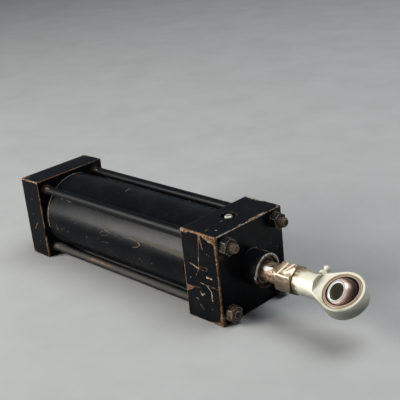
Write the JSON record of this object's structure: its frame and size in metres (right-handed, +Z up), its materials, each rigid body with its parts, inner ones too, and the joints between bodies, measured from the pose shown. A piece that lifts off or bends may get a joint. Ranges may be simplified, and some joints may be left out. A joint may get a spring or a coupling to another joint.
{
  "type": "pneumatic cylinder",
  "caption": "Tie-rod pneumatic cylinder with square end blocks, a round barrel, an adjustable cushion, and a greasable ball-joint rod end on its drawn-in rod.",
  "frame": {"origin": "centre of the rear cap's back face", "axes": "+X along the rod, from the rear cap to the rod end; +Z up, towards the cushion needle; the air ports face +Y"},
  "size_m": [0.361, 0.0762, 0.0762],
  "materials": {
    "black_paint": "gloss black paint, chipped to bare brown metal at the edges",
    "dark_steel": "dark oxide, rusty",
    "rusty_chrome": "chrome with brown rust where it shows",
    "zinc": "pale zinc plate, tarnished brown on the hexagon",
    "bronze": "pinkish brown bearing bronze",
    "bright_steel": "ground and polished",
    "aluminium": "turned",
    "brass": "bright, worn",
    "rubber": "matt black",
    "urethane": "amber brown",
    "bearing_plastic": "tan, filled"
  },
  "bodies": {
    "cylinder": {"head": "black_paint", "rear_cap": "black_paint", "tube": "black_paint", "tie_rod_top_near": "black_paint", "tie_rod_top_far": "black_paint", "tie_rod_bottom_near": "black_paint", "tie_rod_bottom_far": "black_paint", "front_nut_top_near": "dark_steel", "front_nut_top_far": "dark_steel", "front_nut_bottom_near": "dark_steel", "front_nut_bottom_far": "dark_steel", "rod_gland": "black_paint", "rod_wiper": "urethane", "rod_seal": "rubber", "gland_o_ring": "rubber", "front_tube_seal": "rubber", "rear_tube_seal": "rubber", "cushion_seal": "urethane"},
    "piston_rings": {"rear_piston_seal": "rubber", "front_piston_seal": "rubber", "wear_ring": "bearing_plastic"},
    "rod": {"piston": "aluminium", "stud_o_ring": "rubber", "piston_nut": "dark_steel", "piston_rod": "rusty_chrome", "cushion_sleeve": "bright_steel", "rod_end_body": "zinc", "rod_end_race": "bronze", "grease_nipple": "zinc"},
    "ball": {"rod_end_ball": "bright_steel"},
    "needle": {"cushion_needle": "brass", "needle_o_ring": "rubber"}
  },
  "joints": [
    {"name": "rod_slide", "type": "slide", "parent": "cylinder", "child": "piston_rings", "axis": [1, 0, 0], "range_m": [0, 0.1524]},
    {"name": "rod_spin", "type": "hinge", "parent": "piston_rings", "child": "rod", "pos_m": [0.03375, 0, 0], "axis": [1, 0, 0], "continuous": true},
    {"name": "ball_pivot", "type": "hinge", "parent": "rod", "child": "ball", "pos_m": [0.3434, 0, 0], "axis": [-0.225, -0.7354, 0.6392], "continuous": true},
    {"name": "needle_turn", "type": "hinge", "parent": "cylinder", "child": "needle", "pos_m": [0.2327, 0, 0.0381], "axis": [0, 0, 1], "range_deg": [-360, 720]}
  ]
}
